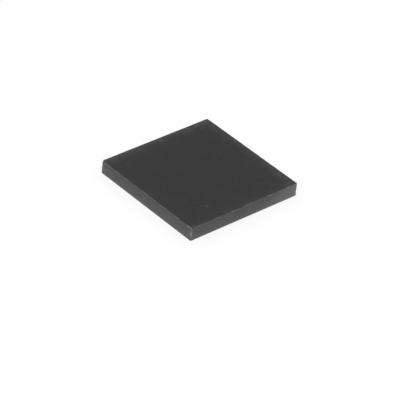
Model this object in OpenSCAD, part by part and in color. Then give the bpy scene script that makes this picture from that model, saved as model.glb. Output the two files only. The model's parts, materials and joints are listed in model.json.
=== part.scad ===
// Leadless radio-frequency amplifier chip. A square block of moulding compound, sawn on its four sides,
// holds an etched metal frame: a ground paddle with the amplifier die on it, and a row of terminals along
// each side. The terminals stop short of the sawn walls, so the walls are plain compound.
// Millimetres. The origin is the middle of the solder plane, and +Z points out of the top face.

/* [Moulded body] */
// Side of the square body
body_side = 7; // [6.3:0.1:10]
// Thickness of the moulding compound
body_h = 0.76; // [0.6:0.01:1.2]
// Height of the compound's underside above the solder plane
standoff = 0.02; // [0.01:0.005:0.06]

/* [Metal frame] */
// Thickness of the metal frame
frame_t = 0.2; // [0.16:0.01:0.3]
// Thickness of the upper layer, whose rim overhangs the lands and locks the metal in the compound
lock_t = 0.1; // [0.05:0.01:0.13]

/* [Terminals] */
// Distance between the middles of neighbouring terminals
terminal_spacing = 0.8; // [0.6:0.05:1.1]
// Width of a solder land
land_w = 0.34; // [0.28:0.01:0.4]
// Length of a solder land
land_l = 0.5; // [0.42:0.01:0.56]
// Distance from a wall of the body to the outer ends of its lands
wall_gap = 0.1; // [0.06:0.01:0.15]
// Overhang of the upper layer past the sides and outer end of a land
terminal_rim = 0.03; // [0.02:0.005:0.05]
// Reach of the upper layer past the inner end of a land, which makes the bond finger
finger_reach = 0.12; // [0.06:0.01:0.16]
// Least gap between the last terminals of two neighbouring sides
corner_gap = 0.12; // [0.1:0.01:0.2]

/* [Ground paddle] */
// Gap between the paddle's upper layer and the bond fingers round it
paddle_gap = 0.31; // [0.2:0.01:0.4]
// Radius of the paddle's corners
paddle_corner_r = 0.15; // [0.1:0.01:0.3]
// Chamfer on the paddle's corner beside terminal 1
index_chamfer = 0.4; // [0.25:0.05:0.6]
// Overhang of the upper layer round the paddle
paddle_rim = 0.12; // [0.06:0.01:0.16]

/* [Amplifier die] */
// Length of the die, along the signal path
die_l = 3.9; // [3:0.1:4.2]
// Width of the die
die_w = 3.3; // [3:0.1:4.2]
// Thickness of the die
die_t = 0.1; // [0.07:0.01:0.15]
// Thickness of the layer that joins the die to the paddle
attach_t = 0.025; // [0.015:0.005:0.04]
// Margin of that layer round the die, at its foot
attach_margin = 0.08; // [0.05:0.01:0.14]
// Height that the layer climbs up the die's sides
attach_climb = 0.05; // [0.02:0.005:0.06]
// Thickness of the layer where it ends on the die's sides
attach_lip = 0.01; // [0.005:0.005:0.03]
// Distance from the die's edge to the centres of its bond pads
pad_inset = 0.1; // [0.08:0.01:0.2]

/* [Bond wires] */
// Diameter of a bond wire
wire_d = 0.03; // [0.02:0.005:0.045]
// Height of a loop's centreline above the die
loop_h = 0.15; // [0.1:0.01:0.2]
// Distance between wires that share a terminal
wire_spacing = 0.1; // [0.09:0.005:0.12]
// Diameter of the ball that joins a wire to the die
ball_d = 0.075; // [0.06:0.005:0.085]
// Height of that ball
ball_h = 0.025; // [0.015:0.005:0.04]
// Length of the flat stitch that joins a wire to its finger
stitch_l = 0.06; // [0.04:0.01:0.08]
// Height of the stitch's pressed end, as a share of the wire's own
stitch_press = 0.4; // [0.3:0.05:1]
// Distance from a finger's inner end to the far end of the stitch
stitch_inset = 0.2; // [0.16:0.01:0.3]

/* [Hidden] */
$fn = 48;
sides = 4;
mould_colour = [0.23, 0.23, 0.23];
frame_colour = [0.80, 0.75, 0.64];
die_colour = [0.33, 0.34, 0.37];
attach_colour = [0.62, 0.62, 0.60];
wire_colour = [0.90, 0.73, 0.33];

// Heights above the solder plane
attach_top = frame_t + attach_t;
die_top = attach_top + die_t;
loop_top = die_top + loop_h;

// Ends of the terminals, measured from the middle of the chip
land_outer = body_side / 2 - wall_gap;
land_inner = land_outer - land_l;
finger_outer = land_outer + terminal_rim;
finger_inner = land_inner - finger_reach;
finger_w = land_w + 2 * terminal_rim;
stitch_end = finger_inner + stitch_inset;

// A row has one terminal at its middle, and as many to either side of it as the corners leave room for
places_each_way = floor((finger_inner - corner_gap - finger_w / 2) / terminal_spacing);
terminals_per_side = 2 * places_each_way + 1;
terminal_total = sides * terminals_per_side;
row_half = places_each_way * terminal_spacing;

// The paddle fills the middle, up to its gap from the fingers
paddle_side = 2 * (finger_inner - paddle_gap - paddle_rim);

// What the die's bond pads keep clear of its corners
pad_corner_gap = 2 * pad_inset;

// Bond wires: rings of a swept tube, and the shares of the span and of the ball where its line turns
wire_sides = 8;
rise_steps = 4;
fall_steps = 7;
crest_share = 0.3;
ball_shoulder_share = 0.6;
flat_r = wire_d / 2 * cos(180 / wire_sides);

// Sides are counted anticlockwise, as the terminals are
west = 0;
south = 1;
east = 2;
north = 3;

// Each connection: the name of its wires, its side, its place there, its number of wires.
// The place is a share of the way from the middle of the row, 0, to its first terminal, -1, or its last, 1.
connections = [
    ["rf_input_wire", west, 0, 2],
    ["rf_output_wire", east, 0, 3],
    ["stage_1_drain_wire", north, 2 / 3, 2],
    ["stage_2_drain_wire", north, 0, 2],
    ["stage_3_drain_wire", north, -2 / 3, 2],
    ["stage_1_gate_wire", south, -2 / 3, 1],
    ["stage_2_gate_wire", south, 0, 1],
    ["stage_3_gate_wire", south, 2 / 3, 1],
    ["detector_wire", east, -1, 1],
    ["reference_wire", east, 1, 1],
];

// Each wire: its name, its side, its terminal counted from the row's middle, its offset on that terminal
wires = [
    for (c = connections)
        let (name = c[0], side = c[1], place = round(c[2] * places_each_way), count = c[3])
        for (k = [1 : count])
            [str(name, "_", k), side, place, (k - (count + 1) / 2) * wire_spacing]
];

function terminal_name(n) = str("terminal_", n < 10 ? "0" : "", n);

// Bar with full-round ends, from x = start to x = end
module round_ended_bar(start, end, w) {
    translate([start + w / 2, -w / 2])
        square([end - start - w, w]);
    for (x = [start + w / 2, end - w / 2])
        translate([x, 0])
            circle(d = w);
}

// Square with round corners and a chamfer on the corner beside terminal 1
module paddle_outline(side, r, chamfer) {
    difference() {
        union() {
            square([side, side - 2 * r], center = true);
            square([side - 2 * r, side], center = true);
            for (x = [-1, 1], y = [-1, 1])
                translate([x, y] * (side / 2 - r))
                    circle(r = r);
        }
        translate([-side / 2, side / 2])
            rotate(45)
                square(chamfer * sqrt(2), center = true);
    }
}

// Terminal n, counted anticlockwise from the north end of the west side
module terminal(n) {
    side = floor((n - 1) / terminals_per_side);
    place = (n - 1) % terminals_per_side;
    color(frame_colour)
        rotate(90 * side)
            translate([0, row_half - place * terminal_spacing, 0]) {
                linear_extrude(frame_t - lock_t)
                    round_ended_bar(-land_outer, -land_inner, land_w);
                translate([0, 0, frame_t - lock_t])
                    linear_extrude(lock_t)
                        round_ended_bar(-finger_outer, -finger_inner, finger_w);
            }
}

// The upper layer's chamfer is longer, so that its rim is equally wide all round
module ground_paddle() {
    color(frame_colour) {
        linear_extrude(frame_t - lock_t)
            paddle_outline(paddle_side, paddle_corner_r, index_chamfer);
        translate([0, 0, frame_t - lock_t])
            linear_extrude(lock_t)
                paddle_outline(
                    paddle_side + 2 * paddle_rim,
                    paddle_corner_r + paddle_rim,
                    index_chamfer + (2 - sqrt(2)) * paddle_rim
                );
    }
}

// Squeezed out all round the die, so its sloped sides climb part of the way up the die
module die_attach() {
    foot = [die_l, die_w] + 2 * attach_margin * [1, 1];
    lip = [die_l, die_w] + 2 * attach_lip * [1, 1];
    color(attach_colour)
        difference() {
            translate([0, 0, frame_t])
                hull() {
                    linear_extrude(attach_t)
                        square(foot, center = true);
                    linear_extrude(attach_t + attach_climb)
                        square(lip, center = true);
                }
            amplifier_die();
        }
}

module amplifier_die() {
    color(die_colour)
        translate([0, 0, attach_top])
            linear_extrude(die_t)
                square([die_l, die_w], center = true);
}

// Half the die's size across a side, and half the length of the edge that faces that side
function die_depth(side) = (side % 2 == 0 ? die_l : die_w) / 2;
function die_edge(side) = (side % 2 == 0 ? die_w : die_l) / 2;

// A wire's line in its own upright plane, as [distance from the ball, height, slope in degrees, radius, press].
// Press is the share of a ring's height that is left, and the ring spreads sideways by what is gone.
function wire_line(span) =
    let (
        crest = crest_share * span,
        neck = die_top + ball_h,
        land = frame_t + flat_r,
        fall = span - stitch_l - crest
    )
    concat(
        [[0, die_top, 90, ball_d / 2, 1], [0, die_top + ball_shoulder_share * ball_h, 90, ball_d / 2, 1]],
        [for (i = [0 : rise_steps])
            let (a = 90 * i / rise_steps)
            [
                crest * (1 - cos(a)),
                neck + (loop_top - neck) * sin(a),
                atan2((loop_top - neck) * cos(a), crest * sin(a)),
                wire_d / 2,
                1
            ]],
        [for (i = [1 : fall_steps])
            let (a = 180 * i / fall_steps, drop = loop_top - land)
            [
                crest + fall * i / fall_steps,
                land + drop * (1 + cos(a)) / 2,
                -atan(drop / 2 * PI / fall * sin(a)),
                wire_d / 2,
                1
            ]],
        [[span, frame_t + flat_r * stitch_press, 0, wire_d / 2, stitch_press]]
    );

// One ring of the tube: a polygon square to the line, with a flat side below where the line is level
function wire_ring(p, start, along, across) = [
    for (k = [0 : wire_sides - 1])
        let (
            a = 360 * (k + 0.5) / wire_sides,
            rise = p[3] * p[4] * cos(a),
            spread = p[3] * (2 - p[4]) * sin(a)
        )
        start + along * (p[0] - rise * sin(p[2])) + across * spread + [0, 0, p[1] + rise * cos(p[2])]
];

// Tube through rings of equal count, closed by a flat face at each end
module swept_tube(rings) {
    count = len(rings[0]);
    last = (len(rings) - 1) * count;
    polyhedron(
        points = [for (r = rings, p = r) p],
        faces = concat(
            [[for (k = [count - 1 : -1 : 0]) k]],
            [for (i = [0 : len(rings) - 2], k = [0 : count - 1], half = [0, 1])
                let (a = i * count + k, b = i * count + (k + 1) % count)
                half == 0 ? [a, b, a + count] : [b, b + count, a + count]],
            [[for (k = [0 : count - 1]) last + k]]
        )
    );
}

// Wire from the die to the terminal at a place on a side, set off from the terminal's middle
module bond_wire(side, place, offset) {
    lateral = -place * terminal_spacing;
    fan = (die_edge(side) - pad_corner_gap) / row_half;
    ball = [-(die_depth(side) - pad_inset), lateral * min(fan, 1) + offset, 0];
    stitch = [-stitch_end, lateral + offset, 0];
    span = norm(stitch - ball);
    along = (stitch - ball) / span;
    across = [-along[1], along[0], 0];
    color(wire_colour)
        rotate(90 * side)
            swept_tube([for (p = wire_line(span)) wire_ring(p, ball, along, across)]);
}

// The compound fills everything inside the block that the other pieces leave
module moulded_body() {
    color(mould_colour)
        difference() {
            translate([-body_side / 2, -body_side / 2, standoff])
                cube([body_side, body_side, body_h]);
            ground_paddle();
            die_attach();
            amplifier_die();
            for (n = [1 : terminal_total])
                terminal(n);
            for (w = wires)
                bond_wire(w[1], w[2], w[3]);
        }
}

moulded_body();
ground_paddle();
die_attach();
amplifier_die();
for (n = [1 : terminal_total])
    terminal(n);
for (w = wires)
    bond_wire(w[1], w[2], w[3]);
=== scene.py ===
import json
import math
import random
import bmesh
import bpy
from mathutils import Matrix, Vector, noise

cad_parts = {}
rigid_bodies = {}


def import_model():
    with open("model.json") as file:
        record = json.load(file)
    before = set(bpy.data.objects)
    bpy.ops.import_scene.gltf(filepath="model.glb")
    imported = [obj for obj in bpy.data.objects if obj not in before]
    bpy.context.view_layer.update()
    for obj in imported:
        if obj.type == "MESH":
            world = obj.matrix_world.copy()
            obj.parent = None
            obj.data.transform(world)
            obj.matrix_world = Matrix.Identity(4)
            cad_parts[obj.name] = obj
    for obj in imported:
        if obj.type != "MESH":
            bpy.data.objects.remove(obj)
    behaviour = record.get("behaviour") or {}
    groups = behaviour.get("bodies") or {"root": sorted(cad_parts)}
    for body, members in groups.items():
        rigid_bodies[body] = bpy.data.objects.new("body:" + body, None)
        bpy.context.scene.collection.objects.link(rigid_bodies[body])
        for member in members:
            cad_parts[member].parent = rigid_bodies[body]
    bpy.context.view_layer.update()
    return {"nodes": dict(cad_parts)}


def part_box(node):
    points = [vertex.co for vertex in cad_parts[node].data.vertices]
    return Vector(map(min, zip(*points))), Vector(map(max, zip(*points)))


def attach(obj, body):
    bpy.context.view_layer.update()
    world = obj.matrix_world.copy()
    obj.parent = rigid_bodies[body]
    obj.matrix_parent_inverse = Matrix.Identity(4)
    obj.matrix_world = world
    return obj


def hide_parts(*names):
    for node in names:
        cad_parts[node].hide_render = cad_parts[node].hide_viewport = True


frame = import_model()
mm = 0.001  # Blender works in metres, the values below are in millimetres
touch = 1e-5  # places closer than this are taken as one
faceOn = 0.99  # a face whose normal has this much of z lies flat
noiseSpan = (0.3, 0.7)  # nearly all of a noise's values lie in it
scene = bpy.context.scene
scene.view_settings.view_transform = "Standard"
print("frame:", len(frame["nodes"]), "solids")


# Node helpers: a value that is a socket is linked, any other is set
def setInputs(tree, node, values):
    for name, value in values.items():
        if isinstance(value, bpy.types.NodeSocket):
            tree.links.new(value, node.inputs[name])
        else:
            node.inputs[name].default_value = value


def addNode(tree, kind, inputs=None, **settings):
    made = tree.nodes.new("ShaderNode" + kind)
    for name, value in settings.items():
        setattr(made, name, value)
    setInputs(tree, made, inputs or {})
    return made


def newMaterial(name):
    material = bpy.data.materials.new(name)
    material.use_nodes = True
    tree = material.node_tree
    place = addNode(tree, "TexCoord").outputs["Object"]
    return material, tree, tree.nodes["Principled BSDF"], place


def sums(tree, operation, first, second=0.0, third=0.0):
    return addNode(tree, "Math", {0: first, 1: second, 2: third}, operation=operation).outputs["Value"]


def ramp(tree, value, low, high, lowTo=0.0, highTo=1.0):  # smooth step from lowTo to highTo
    ends = {"Value": value, "From Min": low, "From Max": high, "To Min": lowTo, "To Max": highTo}
    return addNode(tree, "MapRange", ends, interpolation_type="SMOOTHSTEP").outputs["Result"]


def fadeIn(tree, distance, start, end, share=1.0):  # none up to start, share from end on, both in mm
    return ramp(tree, distance, start * mm, end * mm, 0.0, share)


def fadeOut(tree, distance, start, end, share=1.0):  # share up to start, none from end on, both in mm
    return ramp(tree, distance, start * mm, end * mm, share, 0.0)


# Noise with features of about size mm; a shift keeps two patterns from lying alike
def grain(tree, place, size, detail=3, stretch=(1, 1, 1), shift=(0, 0, 0)):
    scaled = tuple(part / (size * mm) for part in stretch)
    ends = {"Vector": place, "Scale": scaled, "Location": shift}
    moved = addNode(tree, "Mapping", ends).outputs["Vector"]
    return addNode(tree, "TexNoise", {"Vector": moved, "Scale": 1, "Detail": detail}).outputs["Fac"]


def specks(tree, place, spacing, cover, widest=0.45, rim=0.08):  # round specks, about spacing mm apart
    scaled = (1 / (spacing * mm),) * 3
    moved = addNode(tree, "Mapping", {"Vector": place, "Scale": scaled}).outputs["Vector"]
    cells = addNode(tree, "TexVoronoi", {"Vector": moved, "Scale": 1}).outputs
    chance = addNode(tree, "SeparateColor", {"Color": cells["Color"]}).outputs["Red"]
    radius = ramp(tree, chance, 1 - cover, 1.0, 0.0, widest)
    return ramp(tree, sums(tree, "SUBTRACT", radius, cells["Distance"]), 0.0, rim)


def markFrame(tree, place, x, y, length, width, angle=0):  # in it a mark goes from -1 to 1, both ways
    ends = {"Vector": place, "Location": (x * mm, y * mm, 0), "Rotation": (0, 0, math.radians(angle)),
            "Scale": (length / 2 * mm, width / 2 * mm, 1)}
    return addNode(tree, "Mapping", ends, vector_type="TEXTURE").outputs["Vector"]


def mixColours(tree, share, first, second):  # 6, 7 and 2 are the Mix node's colour sockets
    return addNode(tree, "Mix", {0: share, 6: first, 7: second}, data_type="RGBA").outputs[2]


def axes(tree, place):
    parts = addNode(tree, "SeparateXYZ", {"Vector": place}).outputs
    return parts["X"], parts["Y"], parts["Z"]


def fromWalls(tree, x, y, half):  # distances in from the nearer x wall and from the nearer y wall
    return [sums(tree, "SUBTRACT", half * mm, sums(tree, "ABSOLUTE", along)) for along in (x, y)]


def showWearAndHighlights(tree, colour, broken):  # chips, rubbed edges and painted edge highlights and glints, by the mesh's own attribute
    worn = addNode(tree, "Attribute", attribute_name="wearAndHighlight").outputs["Fac"]
    return mixColours(tree, worn, colour, broken)


def dress(tree, shader, colour, roughness, relief, depth, metallic=0.0, specular=0.5):  # depth in mm
    bump = addNode(tree, "Bump", {"Height": relief, "Distance": depth * mm})
    setInputs(tree, shader, {
        "Base Color": colour,
        "Roughness": roughness,
        "Metallic": metallic,
        "Specular IOR Level": specular,
        "Normal": bump.outputs["Normal"],
    })


# Moulded top: dark and fine grained, with a pale haze along the rims, most along the +y and -x rims, and a
# few faint scuffs
# A band is where a tone starts and ends to fade, a span is where in a noise's values it sets in
topLook = {
    "dark": (0.0175, 0.0176, 0.018, 1),
    "haze": (0.039, 0.039, 0.0394, 1),
    "hazeOnSides": (0.2, 0.66, 0.84, 0.08),  # +x, +y, -x, -y
    "hazeReach": 1.44,  # in from the walls, times a cloudy noise
    "cloudSize": 0.9,
    "broadShare": 0.14,  # fainter haze that goes farther in
    "broadBand": (0.4, 2.6),
    "mottleShare": 0.06,
    "mottleSize": 0.5,
    "mottleSpan": (0.35, 0.65),
    "blotch": (0.08, 0.08, 0.08, 1),
    "blotchSize": 0.35,
    "blotchSpan": (0.56, 0.7),
    "blotchBand": (0.05, 0.45),
    "rimLine": (0.08, 0.2, 0.7, 0.0),  # pale line close beside the +x, +y, -x and -y edges
    "rimLineBand": (0.03, 0.14),
    "fillerSpacing": 0.045,
    "fillerCover": 0.5,
    "fillerShare": 0.25,
    "broken": (0.125, 0.125, 0.124, 1),  # bare compound on chips and rubbed edges, and the tone of the painted edge highlights
    "roughness": (0.5, 0.7),
    "specular": 0.18,
    "grainSize": 0.035,
    "grainDepth": 0.003,
    "scuffCore": 0.2,  # part of a scuff that has its full share
    "scuffs": (  # x, y, length, width, angle, share
        (1.6, -2.27, 0.34, 0.15, 20, 0.5),
        (1.87, -1.98, 0.44, 0.13, 60, 0.5),
        (2.47, -1.64, 0.42, 0.2, 35, 0.6),
        (-2.04, 0.8, 0.24, 0.14, 110, 0.4),
        (-2.49, -2.68, 0.5, 0.14, 40, 0.35),
        (2.0, 3.27, 0.3, 0.16, 0, 0.5),
        (2.45, 3.24, 0.26, 0.2, 15, 0.6),
        (2.9, 3.26, 0.34, 0.18, 170, 0.7),
        (-3.27, -1.65, 0.24, 0.2, 60, 0.6),
        (-3.22, 1.2, 0.34, 0.22, 100, 0.6),
        (-3.25, 1.72, 0.3, 0.24, 75, 0.7),
        (3.34, 3.06, 0.8, 0.4, 82, 0.95),
        (3.38, -3.26, 0.44, 0.26, 90, 0.6),
    ),
}


def scuffMarks(tree, place, look):
    total = 0.0
    for x, y, length, width, angle, share in look["scuffs"]:
        local = markFrame(tree, place, x, y, length, width, angle)
        away = addNode(tree, "VectorMath", {0: local}, operation="LENGTH").outputs["Value"]
        total = sums(tree, "ADD", ramp(tree, away, look["scuffCore"], 1.0, share, 0.0), total)
    return total


def makeTopMaterial(look, half):
    material, tree, shader, place = newMaterial("mouldedTop")
    x, y = axes(tree, place)[:2]
    cloud = grain(tree, place, look["cloudSize"], detail=4, shift=(3, 8, 0))
    reach = sums(tree, "MULTIPLY", cloud, look["hazeReach"] * mm)
    haze, blotched, paleRimLine = 0.0, 0.0, 0.0
    for side, (along, sign) in enumerate(((x, 1), (y, 1), (x, -1), (y, -1))):
        inside = sums(tree, "MULTIPLY_ADD", along, -sign, half * mm)  # distance in from this wall
        strength = look["hazeOnSides"][side]
        rim = ramp(tree, sums(tree, "DIVIDE", inside, reach), 0.0, 1.0, strength, 0.0)
        haze = sums(tree, "MAXIMUM", rim, haze)
        blotchHere = fadeOut(tree, inside, *look["blotchBand"], strength)
        blotched = sums(tree, "MAXIMUM", blotchHere, blotched)
        line = fadeOut(tree, inside, *look["rimLineBand"], look["rimLine"][side])
        paleRimLine = sums(tree, "MAXIMUM", line, paleRimLine)
    nearest = sums(tree, "MINIMUM", *fromWalls(tree, x, y, half))
    broad = fadeOut(tree, nearest, *look["broadBand"], look["broadShare"])
    patchy = grain(tree, place, look["mottleSize"], shift=(7, 1, 4))
    mottle = ramp(tree, patchy, *look["mottleSpan"], -look["mottleShare"], look["mottleShare"])
    for more in (broad, mottle, scuffMarks(tree, place, look)):
        haze = sums(tree, "ADD", haze, more)
    colour = mixColours(tree, haze, look["dark"], look["haze"])
    patches = grain(tree, place, look["blotchSize"], detail=2, shift=(1, 5, 2))
    blotched = sums(tree, "MULTIPLY", ramp(tree, patches, *look["blotchSpan"]), blotched)
    pale = sums(tree, "MAXIMUM", blotched, paleRimLine)
    colour = mixColours(tree, pale, colour, look["blotch"])
    filler = specks(tree, place, look["fillerSpacing"], look["fillerCover"])
    fillerShare = sums(tree, "MULTIPLY", filler, look["fillerShare"])
    colour = mixColours(tree, fillerShare, colour, look["haze"])
    # chips, rubbed edges and painted edge highlights, from the mesh
    colour = showWearAndHighlights(tree, colour, look["broken"])
    fine = grain(tree, place, look["grainSize"], detail=4)
    roughness = ramp(tree, fine, *noiseSpan, *look["roughness"])
    dress(tree, shader, colour, roughness, fine, look["grainDepth"], specular=look["specular"])
    return material


# Sawn walls: the cut opens the pale filler of the compound and leaves fine lines along the cut; painted
# bounce light, painted highlights and a painted reflection lie over this
wallLook = {
    "dull": (0.05, 0.05, 0.051, 1),
    "bright": (0.083, 0.083, 0.082, 1),
    "paintedBounceByHeight": (0.58, -0.04),  # painted bounce light from the floor: share of the bright tone, at the foot and at the top
    "paintedFootBounce": 0.55,
    "paintedFootBounceBand": 0.3,  # painted bounce light: brighter band above the underside
    "uprightHighlightShare": 0.45,
    "uprightHighlightBand": 0.35,  # painted highlight: brighter band beside the upright edges
    "frontShare": 0.14,
    "frontBand": (1.0, 1.9),  # brighter toward the front corner, in half widths along x - y
    "lineShare": 0.18,
    "lineSpan": (0.75, 1.25),
    "lineSize": 0.05,
    "lineStretch": (0.02, 0.02, 1),
    "lineDepth": 0.0014,
    "mottleSize": 0.4,
    "mottleStretch": (0.5, 0.5, 1),
    "paintedReflection": (0.111, 0.112, 0.106, 1),  # painted reflection, paler and warm-tinted: toward the foot and the +y end of the +x wall
    "paintedReflectionShare": 0.95,
    "paintedReflectionSlope": 1.8,  # how far its edge moves along the wall, for each mm of height
    "paintedReflectionAlong": (0.3, 2.6),
    "paintedReflectionAcross": (1.9, 3.4),
    "farCornerHighlight": 0.22,  # painted highlight: share of the broken tone at the two corners beside the front one
    "filler": (0.14, 0.14, 0.136, 1),
    "fillerGrains": ((0.06, 0.6), (0.025, 0.4)),  # spacing and cover
    "fillerShare": 0.5,
    "fillerRelief": 0.4,
    "broken": (0.21, 0.21, 0.207, 1),  # bare compound on chips and rubbed edges, and the tone of the painted edge highlights, glints and corner highlights
    "roughness": (0.45, 0.62),
    "specular": 0.3,
}


def makeWallMaterial(look, lo, hi):
    material, tree, shader, place = newMaterial("sawnWall")
    x, y, z = axes(tree, place)
    fineLines = grain(tree, place, look["lineSize"], stretch=look["lineStretch"])
    mottle = grain(tree, place, look["mottleSize"], stretch=look["mottleStretch"], shift=(4, 2, 7))
    lines = sums(tree, "ADD", fineLines, mottle)
    fromEnd = sums(tree, "MAXIMUM", *fromWalls(tree, x, y, hi.x))
    toFront = sums(tree, "SUBTRACT", x, y)
    frontStart, frontEnd = (part * hi.x for part in look["frontBand"])
    # painted bounce light from the floor: the walls get brighter toward the foot
    share = ramp(tree, z, lo.z * mm, hi.z * mm, *look["paintedBounceByHeight"])
    added = (
        # painted bounce light in a band above the underside
        fadeOut(tree, z, lo.z, lo.z + look["paintedFootBounceBand"], look["paintedFootBounce"]),
        ramp(tree, lines, *look["lineSpan"], -look["lineShare"], look["lineShare"]),
        # painted highlight beside the upright edges
        fadeOut(tree, fromEnd, 0.0, look["uprightHighlightBand"], look["uprightHighlightShare"]),
        fadeIn(tree, toFront, frontStart, frontEnd, look["frontShare"]),
    )
    for more in added:
        share = sums(tree, "ADD", share, more)
    colour = mixColours(tree, share, look["dull"], look["bright"])
    # painted reflection: a paler, warm-tinted tone toward the +y end of the +x wall, reaching farther along
    # near the foot
    slant = sums(tree, "MULTIPLY_ADD", z, -look["paintedReflectionSlope"], y)
    alongWall = fadeIn(tree, slant, *look["paintedReflectionAlong"], look["paintedReflectionShare"])
    paintedReflection = sums(tree, "MULTIPLY", alongWall, fadeIn(tree, x, *look["paintedReflectionAcross"]))
    colour = mixColours(tree, paintedReflection, colour, look["paintedReflection"])
    toCorner = sums(tree, "ABSOLUTE", sums(tree, "ADD", x, y))  # largest at the corners beside the front
    # painted highlight: the broken tone beside the two corners left and right of the front one
    farCornerHighlight = fadeIn(tree, toCorner, 2 * hi.x - look["uprightHighlightBand"], 2 * hi.x, look["farCornerHighlight"])
    colour = mixColours(tree, farCornerHighlight, colour, look["broken"])
    filler = 0.0
    for spacing, cover in look["fillerGrains"]:
        filler = sums(tree, "ADD", specks(tree, place, spacing, cover), filler)
    fillerShare = sums(tree, "MULTIPLY", filler, look["fillerShare"])
    colour = mixColours(tree, fillerShare, colour, look["filler"])
    # chips, rubbed edges and painted edge highlights and glints, from the mesh
    colour = showWearAndHighlights(tree, colour, look["broken"])
    roughness = ramp(tree, fineLines, *noiseSpan, *look["roughness"])
    relief = sums(tree, "MULTIPLY_ADD", filler, look["fillerRelief"], fineLines)
    dress(tree, shader, colour, roughness, relief, look["lineDepth"], specular=look["specular"])
    return material


# Underside: moulded against a film, smoother than the top
undersideLook = {
    "dark": (0.036, 0.036, 0.037, 1),
    "pale": (0.046, 0.046, 0.046, 1),
    "cloudSize": 0.6,
    "cloudSpan": (0.35, 0.7),
    "roughness": (0.35, 0.5),
    "specular": 0.3,
    "grainSize": 0.03,
    "grainDepth": 0.0008,
}


def makeUndersideMaterial(look):
    material, tree, shader, place = newMaterial("mouldedUnderside")
    cloud = grain(tree, place, look["cloudSize"], detail=4)
    fine = grain(tree, place, look["grainSize"])
    colour = mixColours(tree, ramp(tree, cloud, *look["cloudSpan"]), look["dark"], look["pale"])
    roughness = ramp(tree, fine, *noiseSpan, *look["roughness"])
    dress(tree, shader, colour, roughness, fine, look["grainDepth"], specular=look["specular"])
    return material


# The moulded body: a sawn block with small rounded, chipped edges, and the pockets of the CAD solid
# Its sides are numbered 0 for +x, 1 for +y, 2 for -x and 3 for -y
# A seen chip, rubbed place, painted edge highlight or painted glint is one that the photo shows, the rest
# come from the seed and from noise
bodyShape = {
    "cornerRound": 0.03,  # the four upright edges
    "edgeRound": 0.02,  # the edges round the top and the underside
    "roundSegments": 3,
    "edgeRings": (0.024, 0.045, 0.07, 0.105, 0.155, 0.22),  # rows of faces in which chips fade out
    "cutsPerEdge": 279,
    "wallRows": 22,
    "seed": 11,
    "chipsPerEdge": 9,
    "chipReach": 0.97,  # part of an edge's length that may have chips
    "chipLength": (0.06, 0.3),
    "chipDepth": (0.01, 0.03),
    "chipLean": (0.3, 0.7),  # 0 is straight into the top, 1 straight into the wall
    "depthOnSides": (1.0, 0.6, 0.5, 0.45),  # how deep the chips go on each side
    "seenChips": (  # side, place along it, length, depth, lean
        (0, 0.18, 0.5, 0.045, 0.35), (0, -0.78, 0.3, 0.028, 0.6), (0, 1.6, 0.44, 0.042, 0.4),
        (0, -3.0, 0.25, 0.03, 0.35), (3, -2.35, 0.3, 0.034, 0.5), (3, 3.42, 0.2, 0.04, 0.5),
    ),
    "chipsPerUpright": 2,
    "uprightChipGaps": (0.15, 0.1),  # free of drawn chips at the foot and at the top
    "uprightChipLength": (0.12, 0.3),
    "uprightChipDepth": (0.015, 0.028),
    "seenUprightChips": (  # side that the edge ends, height, length, depth
        (3, 0.45, 0.2, 0.052), (3, 0.3, 0.1, 0.04), (2, 0.8, 0.3, 0.05), (1, 0.8, 0.3, 0.05),
    ),
    "chipBand": 0.25,  # nothing farther than this from an edge is chipped
    "plainFoot": 0.05,  # nor anything lower than this above the underside
    "chipWear": 0.055,  # depth at which a chip's surface is all broken
    "raggedDepth": 0.007,
    "raggedSize": 0.09,
    "raggedBand": 0.08,
    "rubbedAndHighlightDots": (0.52, 0.65),  # mean and spread of the broken line of rubbed edges and painted edge highlights
    "rubbedAndHighlightSize": 0.2,
    "rubbedAndHighlightBand": 0.022,
    "rubbedAndHighlitEdges": ((0.25, 0.34), (0.25, 0.25), (0.5, 0.55), (0.36, 0.3)),  # each side's start and end
    "rubbedAndHighlitUprights": (0.18, 0.3),  # painted highlight and rubbing on the upright edges: beside the x walls, beside the y walls
    "rubbedAndHighlitUprightBand": 0.055,
    "seenRubbedAndHighlights": (  # painted edge highlights and rubbed places: side, from and to along it, share
        (0, -3.1, -2.91, 0.15), (0, -0.1, 0.48, 0.18), (0, 1.6, 1.85, 0.25), (0, 2.15, 2.35, 0.3),
        (0, 2.76, 3.4, 0.35), (3, -3.07, -2.86, 0.2), (3, -0.21, 0.1, 0.12), (3, 0.19, 0.69, 0.12),
        (3, 1.27, 1.56, 0.2), (3, 2.25, 2.55, 0.25), (3, 3.13, 3.5, 1.2),
    ),
    "seenUprightGlints": (  # painted glints and highlights on the upright edges: side that the edge ends, from and to in height, share
        (3, 0.39, 0.53, 1.0), (3, 0.28, 0.36, 0.5), (0, 0.02, 0.5, 0.3), (0, 0.5, 0.76, 0.45),
    ),
    "seenBetween": 0.4,  # how much of a seen place shows between the dots
    "topBand": 0.2,  # depth and slope up to which a face has the top's finish
    "topSlope": 0.6,
    "wallBand": 0.06,  # the same for the walls
    "wallSlope": -0.8,
    "sharpAngle": 42,
}


def sideWays(side):  # out of the side, and along it
    turn = side * math.pi / 2
    return Vector((math.cos(turn), math.sin(turn), 0)), Vector((-math.sin(turn), math.cos(turn), 0))


def between(ends, share):
    return ends[0] + (ends[1] - ends[0]) * share


def uneven(place, size, octaves, falloff=0.8, step=2.1):  # features of about size mm
    return noise.fractal(place / size, falloff, step, octaves)


def isUpright(edge):
    first, second = edge.verts
    return abs(first.co.z - second.co.z) > edge.calc_length() / 2


def newObject(name, shape):  # a bmesh becomes an object at the origin
    mesh = bpy.data.meshes.new(name)
    shape.to_mesh(mesh)
    shape.free()
    made = bpy.data.objects.new(name, mesh)
    scene.collection.objects.link(made)
    return made


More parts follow.
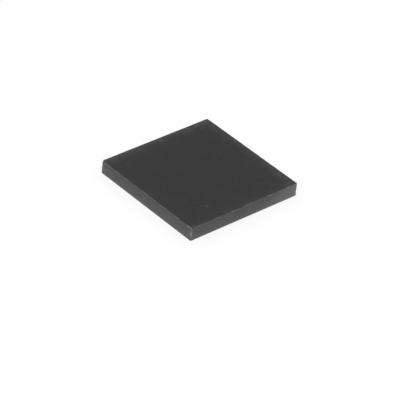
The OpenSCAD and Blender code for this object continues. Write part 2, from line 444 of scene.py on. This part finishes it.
def makeShell(lo, hi, shape):  # the block's outside, open below and in the middle of the top
    shell = bmesh.new()
    bmesh.ops.create_cube(shell, size=1)
    bmesh.ops.scale(shell, vec=hi - lo, verts=shell.verts)
    bmesh.ops.translate(shell, vec=(lo + hi) / 2, verts=shell.verts)
    for upright, offset in ((True, shape["cornerRound"]), (False, shape["edgeRound"])):
        edges = [e for e in shell.edges if isUpright(e) == upright]
        bmesh.ops.bevel(shell, geom=edges, offset=offset, offset_type="OFFSET", affect="EDGES",
                        segments=shape["roundSegments"], profile=0.5, material=-1)
    foot = lo.z + shape["edgeRound"]
    rise = hi.z - lo.z - 2 * shape["edgeRound"]
    rows = shape["wallRows"]
    cuts = [(2, foot + rise * row / rows) for row in range(1, rows)]
    for ring in shape["edgeRings"]:
        cuts += [(0, hi.x - ring), (0, lo.x + ring), (1, hi.y - ring), (1, lo.y + ring)]
    for axis, at in cuts:
        normal = Vector((axis == 0, axis == 1, axis == 2))
        everything = shell.verts[:] + shell.edges[:] + shell.faces[:]
        bmesh.ops.bisect_plane(shell, geom=everything, dist=touch, plane_co=normal * at, plane_no=normal)
    middle = max((f for f in shell.faces if f.normal.z > faceOn), key=lambda f: f.calc_area())
    under = [f for f in shell.faces if f.normal.z < -faceOn]
    bmesh.ops.delete(shell, geom=[middle] + under, context="FACES")
    longEdges = [e for e in shell.edges if e.calc_length() > hi.x]
    bmesh.ops.subdivide_edges(shell, edges=longEdges, cuts=shape["cutsPerEdge"])
    return shell


# Each chip is a ball that presses the surface in
def ballRadius(length, depth):
    return (length * length / 4 + depth * depth) / (2 * depth)


def edgeChips(hi, shape, dice):
    flaws = list(shape["seenChips"])
    reach = shape["chipReach"]
    for side in range(4):
        for _ in range(shape["chipsPerEdge"]):
            size = dice.random() ** 2  # most chips are small
            length = between(shape["chipLength"], size)
            depth = between(shape["chipDepth"], size) * shape["depthOnSides"][side]
            along = dice.uniform(-reach, reach) * hi.x
            flaws.append((side, along, length, depth, dice.uniform(*shape["chipLean"])))
    balls = []
    for side, along, length, depth, lean in flaws:
        out, way = sideWays(side)
        radius = ballRadius(length, depth)
        toward = (out * lean + Vector((0, 0, 1 - lean))).normalized()
        onEdge = out * hi.x + way * along + Vector((0, 0, hi.z))
        balls.append((onEdge + toward * (radius - depth), radius))
    return balls


def uprightChips(lo, hi, shape, dice):
    flaws = list(shape["seenUprightChips"])
    below, above = shape["uprightChipGaps"]
    for side in range(4):
        for _ in range(shape["chipsPerUpright"]):
            up = dice.uniform(lo.z + below, hi.z - above)
            length = dice.uniform(*shape["uprightChipLength"])
            depth = dice.uniform(*shape["uprightChipDepth"])
            flaws.append((side, up, length, depth))
    balls = []
    for side, up, length, depth in flaws:
        out, way = sideWays(side)
        radius = ballRadius(length, depth)
        away = hi.x * math.sqrt(2) + radius - depth
        balls.append(((out + way).normalized() * away + Vector((0, 0, up)), radius))
    return balls


def rubbedAndHighlightShare(place, near, hi, shape):  # pale, broken line along the rounded edges: rubbed edges, painted edge highlights and painted glints on the upright edges
    mean, spread = shape["rubbedAndHighlightDots"]
    dots = max(0.0, mean + spread * uneven(place, shape["rubbedAndHighlightSize"], 2))
    seenDots = shape["seenBetween"] + dots
    axis = 0 if near[0] < near[1] else 1
    if max(near[2], near[axis]) < shape["rubbedAndHighlightBand"]:
        side = axis if place[axis] > 0 else axis + 2
        along = place.dot(sideWays(side)[1])
        share = dots * between(shape["rubbedAndHighlitEdges"][side], 0.5 + along / (2 * hi.x))
        for seenSide, low, high, more in shape["seenRubbedAndHighlights"]:
            if seenSide == side and low < along < high:
                share += more * seenDots
        return share
    # painted glints and highlights along the upright edges
    if max(near[0], near[1]) < shape["rubbedAndHighlitUprightBand"]:
        share = dots * shape["rubbedAndHighlitUprights"][axis]
        for side, low, high, more in shape["seenUprightGlints"]:
            out, way = sideWays(side)
            if low < place.z < high and place.dot(out) > 0 and place.dot(way) > 0:
                share += more * seenDots
        return share
    return 0.0


def chipEdges(shell, lo, hi, shape):
    dice = random.Random(shape["seed"])
    balls = edgeChips(hi, shape, dice) + uprightChips(lo, hi, shape, dice)
    band = shape["raggedBand"]
    # the wear layer holds the chips' broken share, rubbed edges and painted edge highlights and glints
    wearAndHighlight = shell.verts.layers.float.new("wearAndHighlight")
    for vert in shell.verts:
        near = [hi.x - abs(vert.co.x), hi.y - abs(vert.co.y), hi.z - vert.co.z]
        spare = sorted(near)[1]  # distance from the nearest edge, along the farther of its two faces
        if spare > shape["chipBand"] or vert.co.z < lo.z + shape["plainFoot"]:
            continue
        start = vert.co.copy()
        for middle, radius in balls:
            away = vert.co - middle
            if away.length < radius:
                vert.co = middle + away.normalized() * radius
        ragged = max(0.0, uneven(start, shape["raggedSize"], 3)) * max(0.0, 1 - spare / band)
        for axis in range(3):
            inward = -1 if axis == 2 else -math.copysign(1, start[axis])
            if near[axis] < band:
                vert.co[axis] += inward * shape["raggedDepth"] * ragged
        broken = (vert.co - start).length / shape["chipWear"]
        # painted edge highlights and glints are added to the chips' broken share
        vert[wearAndHighlight] = min(1.0, rubbedAndHighlightShare(start, near, hi, shape) + broken)


def pocketWalls(lo, hi):  # the CAD solid without its six outer faces
    pockets = bmesh.new()
    pockets.from_mesh(frame["nodes"]["moulded_body"].data)
    bmesh.ops.remove_doubles(pockets, verts=pockets.verts, dist=touch * mm)
    bmesh.ops.scale(pockets, vec=(1 / mm,) * 3, verts=pockets.verts)
    outside = []
    for face in pockets.faces:
        for axis in range(3):
            level = [v.co[axis] for v in face.verts]
            if max(level) < lo[axis] + touch or min(level) > hi[axis] - touch:
                outside.append(face)
                break
    bmesh.ops.delete(pockets, geom=outside, context="FACES")
    mesh = bpy.data.meshes.new("pocketWalls")
    pockets.to_mesh(mesh)
    pockets.free()
    mesh.attributes.remove(mesh.attributes["custom_normal"])  # the body gets its own shading
    return mesh


def finishOf(face, hi, shape):  # 0 is the top, 1 a wall, 2 the underside or a pocket
    middle = face.calc_center_median()
    fromWall = min(hi.x - abs(middle.x), hi.y - abs(middle.y))
    if middle.z > hi.z - shape["topBand"] and face.normal.z > shape["topSlope"]:
        return 0
    if fromWall < shape["wallBand"] and face.normal.z > shape["wallSlope"]:
        return 1
    return 2


def makeBody(shape):
    lo, hi = (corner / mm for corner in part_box("moulded_body"))
    shell = makeShell(lo, hi, shape)
    chipEdges(shell, lo, hi, shape)
    pockets = pocketWalls(lo, hi)
    shell.from_mesh(pockets)
    bpy.data.meshes.remove(pockets)
    halfway = (lo.z + hi.z) / 2
    openEdges = [e for e in shell.edges if e.is_boundary]  # all lie in the underside or in the top
    below = [e for e in openEdges if e.verts[0].co.z < halfway]
    above = [e for e in openEdges if e.verts[0].co.z > halfway]
    bmesh.ops.edgeloop_fill(shell, edges=above)
    bmesh.ops.triangle_fill(shell, edges=below, use_beauty=True, normal=(0, 0, -1))
    bmesh.ops.recalc_face_normals(shell, faces=shell.faces)
    shell.normal_update()
    for face in shell.faces:
        face.material_index = finishOf(face, hi, shape)
    stillOpen = sum(not e.is_manifold for e in shell.edges)
    bmesh.ops.scale(shell, vec=(mm,) * 3, verts=shell.verts)
    body = newObject("mouldedBody", shell)
    mesh = body.data
    mesh.set_sharp_from_angle(angle=math.radians(shape["sharpAngle"]))
    for polygon in mesh.polygons:
        polygon.use_smooth = polygon.normal.z > -faceOn  # the flat underside stays flat shaded
    mesh.materials.append(makeTopMaterial(topLook, hi.x))
    mesh.materials.append(makeWallMaterial(wallLook, lo, hi))
    mesh.materials.append(makeUndersideMaterial(undersideLook))
    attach(body, "root")
    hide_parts("moulded_body")
    print("moulded body:", len(mesh.polygons), "faces, open edges:", stillOpen)


makeBody(bodyShape)

# Etched frame: copper alloy under a pale gold flash, with a fine plated grain
frameLook = {
    "flash": (0.78, 0.68, 0.47, 1),
    "worn": (0.72, 0.61, 0.41, 1),
    "wornSpan": (0.7, 1.36),  # in the sum of two noises
    "cloudSize": 0.5,
    "rolledSize": 0.03,  # faint rolling lines along y
    "rolledStretch": (1, 0.04, 1),
    "rolledRelief": 0.7,
    "pit": (0.5, 0.42, 0.28, 1),
    "pitSpacing": 0.05,
    "pitCover": 0.25,
    "pitShare": 0.5,
    "roughness": (0.24, 0.46),
    "grainSize": 0.022,
    "grainDepth": 0.0012,
}


def makeFrameMaterial(look):
    material, tree, shader, place = newMaterial("goldFlashedFrame")
    cloud = grain(tree, place, look["cloudSize"], detail=4)
    fine = grain(tree, place, look["grainSize"])
    rolled = grain(tree, place, look["rolledSize"], detail=2,
                   stretch=look["rolledStretch"], shift=(2, 9, 5))
    worn = ramp(tree, sums(tree, "ADD", cloud, rolled), *look["wornSpan"])
    colour = mixColours(tree, worn, look["flash"], look["worn"])
    pits = specks(tree, place, look["pitSpacing"], look["pitCover"])
    colour = mixColours(tree, sums(tree, "MULTIPLY", pits, look["pitShare"]), colour, look["pit"])
    roughness = ramp(tree, fine, *noiseSpan, *look["roughness"])
    relief = sums(tree, "MULTIPLY_ADD", rolled, look["rolledRelief"], fine)
    dress(tree, shader, colour, roughness, relief, look["grainDepth"], metallic=1.0)
    return material


# Die: polished semiconductor, with plated lines and rings on its top and a bond pad under each wire
dieLook = {
    "base": (0.12, 0.13, 0.15, 1),
    "plated": (0.62, 0.5, 0.26, 1),
    "platedBand": (0.004, 0.002),  # below the top, from no plating to full plating
    "ringSpacing": 0.55,
    "ringSpread": 0.22,  # how far the rings are moved off an even grid
    "ringEnd": (0.36, 0.4),  # where the outermost line of a ring fades, in ring spacings
    "lineWidth": 0.03,
    "lineSpan": (0.1, 0.4),  # in the sine wave that draws the lines
    "edgeMargin": 0.42,  # from the die's edges to the middles of the outermost rings
    "padSide": 0.11,
    "padRim": 0.95,  # where a pad's edge starts to fade
    "roughness": (0.12, 0.22),
    "grainSize": 0.05,
    "relief": 0.001,
}


def padPlaces(top):  # the middle of each wire's ball in mm, where it stands on the die
    places = []
    for name, solid in frame["nodes"].items():
        if "_wire_" in name:
            foot = [v.co for v in solid.data.vertices if abs(v.co.z - top) < touch * mm]
            places.append(sum(foot, Vector()) / len(foot) / mm)
    return places


def fromPads(tree, place, places, side):  # distance from the nearest pad's middle, 1 at the pads' edges
    nearest = 1e3  # farther than any pad
    for middle in places:
        local = markFrame(tree, place, middle.x, middle.y, side, side)
        offset = addNode(tree, "VectorMath", {0: local}, operation="ABSOLUTE").outputs["Vector"]
        u, v = axes(tree, offset)[:2]
        nearest = sums(tree, "MINIMUM", sums(tree, "MAXIMUM", u, v), nearest)
    return nearest


def makeDieMaterial(look):
    material, tree, shader, place = newMaterial("polishedDie")
    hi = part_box("amplifier_die")[1]
    x, y, z = axes(tree, place)
    flat = addNode(tree, "CombineXYZ", {"X": x, "Y": y}).outputs["Vector"]
    cells = {"Vector": flat, "Scale": 1 / (look["ringSpacing"] * mm), "Randomness": look["ringSpread"]}
    nearest = addNode(tree, "TexVoronoi", cells, distance="CHEBYCHEV").outputs
    rings = nearest["Distance"]
    linesPerRing = look["ringSpacing"] / look["lineWidth"]
    waves = sums(tree, "SINE", sums(tree, "MULTIPLY", rings, linesPerRing * math.pi))
    ended = ramp(tree, rings, *look["ringEnd"], 1.0, 0.0)
    tracks = sums(tree, "MULTIPLY", ramp(tree, waves, *look["lineSpan"]), ended)
    for along, reach in zip(axes(tree, nearest["Position"]), (hi.x, hi.y)):
        inside = sums(tree, "SUBTRACT", reach, sums(tree, "ABSOLUTE", along))
        whole = sums(tree, "GREATER_THAN", inside, look["edgeMargin"] * mm)  # no ring is cut by an edge
        tracks = sums(tree, "MULTIPLY", tracks, whole)
    away = fromPads(tree, place, padPlaces(hi.z), look["padSide"])
    metal = sums(tree, "MAXIMUM", tracks, ramp(tree, away, look["padRim"], 1.0, 1.0, 0.0))
    bare, full = (hi.z - depth * mm for depth in look["platedBand"])
    share = sums(tree, "MULTIPLY", metal, ramp(tree, z, bare, full))
    colour = mixColours(tree, share, look["base"], look["plated"])
    fine = grain(tree, place, look["grainSize"], detail=2)
    roughness = ramp(tree, fine, *noiseSpan, *look["roughness"])
    dress(tree, shader, colour, roughness, metal, look["relief"], metallic=share)
    return material


# Die attach: epoxy filled with silver flakes
attachLook = {
    "epoxy": (0.36, 0.36, 0.34, 1),
    "flake": (0.62, 0.62, 0.6, 1),
    "flakeSpacing": 0.02,
    "flakeCover": 0.8,
    "roughness": (0.6, 0.35),  # of the epoxy and of the flakes
    "relief": 0.001,
}


def makeAttachMaterial(look):
    material, tree, shader, place = newMaterial("silverEpoxy")
    flakes = specks(tree, place, look["flakeSpacing"], look["flakeCover"])
    colour = mixColours(tree, flakes, look["epoxy"], look["flake"])
    roughness = ramp(tree, flakes, 0.0, 1.0, *look["roughness"])
    dress(tree, shader, colour, roughness, flakes, look["relief"])
    return material


# Bond wires: drawn gold
wireLook = {
    "gold": (0.86, 0.62, 0.2, 1),
    "deep": (0.78, 0.54, 0.16, 1),
    "deepSpan": (0.35, 0.65),
    "roughness": (0.2, 0.34),
    "grainSize": 0.008,
    "grainDepth": 0.0003,
}


def makeWireMaterial(look):
    material, tree, shader, place = newMaterial("drawnGold")
    fine = grain(tree, place, look["grainSize"])
    colour = mixColours(tree, ramp(tree, fine, *look["deepSpan"]), look["gold"], look["deep"])
    roughness = ramp(tree, fine, *noiseSpan, *look["roughness"])
    dress(tree, shader, colour, roughness, fine, look["grainDepth"], metallic=1.0)
    return material


finishes = {
    "frame_metal": makeFrameMaterial(frameLook),
    "die": makeDieMaterial(dieLook),
    "die_attach": makeAttachMaterial(attachLook),
    "bond_wire": makeWireMaterial(wireLook),
}
for solid in frame["nodes"].values():
    for slot in solid.material_slots:
        slot.material = finishes.get(slot.material.name.split(".")[0], slot.material)
print("finishes on the carried-over solids:", ", ".join(finishes))

# Floor and light: a white sweep under even studio light
stageLook = {
    "white": (1, 1, 1, 1),
    "floorColour": (0.94, 0.94, 0.94, 1),
    "floorSize": 400,
    "floorSegments": 4,
    "floorGap": 0.002,  # keeps the floor just below the part
    "shadowShare": 0.2,
    "worldLight": 0.92,
}


def seenDirectly(tree):  # 1 for what the camera, a reflection or a clear body sees
    path = addNode(tree, "LightPath").outputs
    seen = sums(tree, "MAXIMUM", path["Is Camera Ray"], path["Is Glossy Ray"])
    return sums(tree, "MAXIMUM", seen, path["Is Transmission Ray"])


def makeFloor(look):
    sheet = bmesh.new()
    segments = look["floorSegments"]
    bmesh.ops.create_grid(sheet, x_segments=segments, y_segments=segments, size=look["floorSize"] * mm / 2)
    bmesh.ops.translate(sheet, vec=(0, 0, -look["floorGap"] * mm), verts=sheet.verts)
    floor = newObject("studioFloor", sheet)
    material = bpy.data.materials.new("whiteSweep")
    material.use_nodes = True
    tree = material.node_tree
    tree.nodes.clear()
    matte = addNode(tree, "BsdfDiffuse", {"Color": look["floorColour"]}).outputs["BSDF"]
    white = addNode(tree, "Emission", {"Color": look["white"], "Strength": 1.0}).outputs["Emission"]
    whiteShare = sums(tree, "MULTIPLY", seenDirectly(tree), 1 - look["shadowShare"])
    both = addNode(tree, "MixShader", {0: whiteShare, 1: matte, 2: white}).outputs["Shader"]
    addNode(tree, "OutputMaterial", {"Surface": both})
    floor.data.materials.append(material)


def makeWorld(look):
    world = bpy.data.worlds.new("studio")
    world.use_nodes = True
    scene.world = world
    tree = world.node_tree
    tree.nodes.clear()
    lit = addNode(tree, "Background", {"Color": look["white"], "Strength": look["worldLight"]})
    seen = addNode(tree, "Background", {"Color": look["white"], "Strength": 1.0})
    ends = {0: seenDirectly(tree), 1: lit.outputs["Background"], 2: seen.outputs["Background"]}
    both = addNode(tree, "MixShader", ends).outputs["Shader"]
    addNode(tree, "OutputWorld", {"Surface": both})


makeFloor(stageLook)
makeWorld(stageLook)

lampLook = {
    "overhead": {"place": (20, -40, 90), "width": 70, "power": 0.022},  # power in watts
}


def makeLamps(lamps):
    for name, look in lamps.items():
        lamp = bpy.data.lights.new(name, "AREA")
        lamp.size = look["width"] * mm
        lamp.energy = look["power"]
        holder = bpy.data.objects.new(name, lamp)
        place = Vector(look["place"])
        holder.location = place * mm
        holder.rotation_euler = place.to_track_quat("Z", "Y").to_euler()  # it shines at the middle
        scene.collection.objects.link(holder)


makeLamps(lampLook)
print("floor, world and lamps set")

# Camera: the photo's view, as solved from the chip's edges
cameraLook = {
    "lens": 225,
    "sensor": 36,
    "nearClip": 1,
    "azimuth": 46.03,
    "elevation": 35.12,
    "roll": 6.11,
    "middle": (0, 0, 0.39),
    "offset": (0.043, -1.103, 126.12),  # right, up and back from the middle
}


def makeCamera(look):
    turn, rise, roll = (math.radians(look[name]) for name in ("azimuth", "elevation", "roll"))
    back = Vector((math.sin(turn) * math.cos(rise), -math.cos(turn) * math.cos(rise), math.sin(rise)))
    level = Vector((math.cos(turn), math.sin(turn), 0))
    upright = back.cross(level)
    right = level * math.cos(roll) + upright * math.sin(roll)
    up = upright * math.cos(roll) - level * math.sin(roll)
    across, above, away = look["offset"]
    lens = bpy.data.cameras.new("photoCamera")
    lens.lens = look["lens"]
    lens.sensor_width = look["sensor"]
    lens.clip_start = look["nearClip"] * mm
    camera = bpy.data.objects.new("photoCamera", lens)
    camera.location = (Vector(look["middle"]) + right * across + up * above + back * away) * mm
    camera.rotation_euler = Matrix((right, up, back)).transposed().to_euler()
    scene.collection.objects.link(camera)
    scene.camera = camera


makeCamera(cameraLook)
print("camera set")
